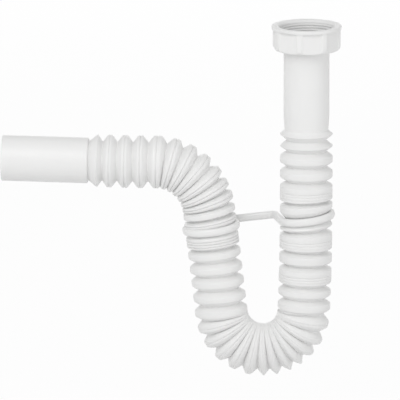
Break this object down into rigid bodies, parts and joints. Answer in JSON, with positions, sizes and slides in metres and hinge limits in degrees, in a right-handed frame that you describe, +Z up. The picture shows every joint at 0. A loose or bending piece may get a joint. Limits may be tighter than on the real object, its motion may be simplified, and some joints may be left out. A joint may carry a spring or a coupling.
{
  "type": "extendable waste connector",
  "caption": "Extendable corrugated waste pipe bent into a trap, with a plain outlet spigot, a coupling nut on its inlet tail and a clip that holds the trap's legs.",
  "frame": {"origin": "centre of the coupling nut's open mouth, where its thread starts", "axes": "+Z up along the tail and out of the nut's mouth, -X towards the outlet spigot, the pipe lies in the XZ plane"},
  "size_m": [0.2978, 0.0616, 0.313],
  "materials": {
    "pipe": "satin white polypropylene",
    "nut": "satin white polypropylene",
    "washer": "matt black rubber",
    "clip": "satin white polypropylene"
  },
  "bodies": {
    "pipe": {"corrugated_pipe": "pipe", "sealing_washer": "washer", "leg_clip": "clip"},
    "nut": {"coupling_nut": "nut"}
  },
  "joints": [
    {"name": "nut_swivel", "type": "hinge", "parent": "pipe", "child": "nut", "pos_m": [0, 0, -0.0115], "axis": [0, 0, 1], "continuous": true}
  ]
}
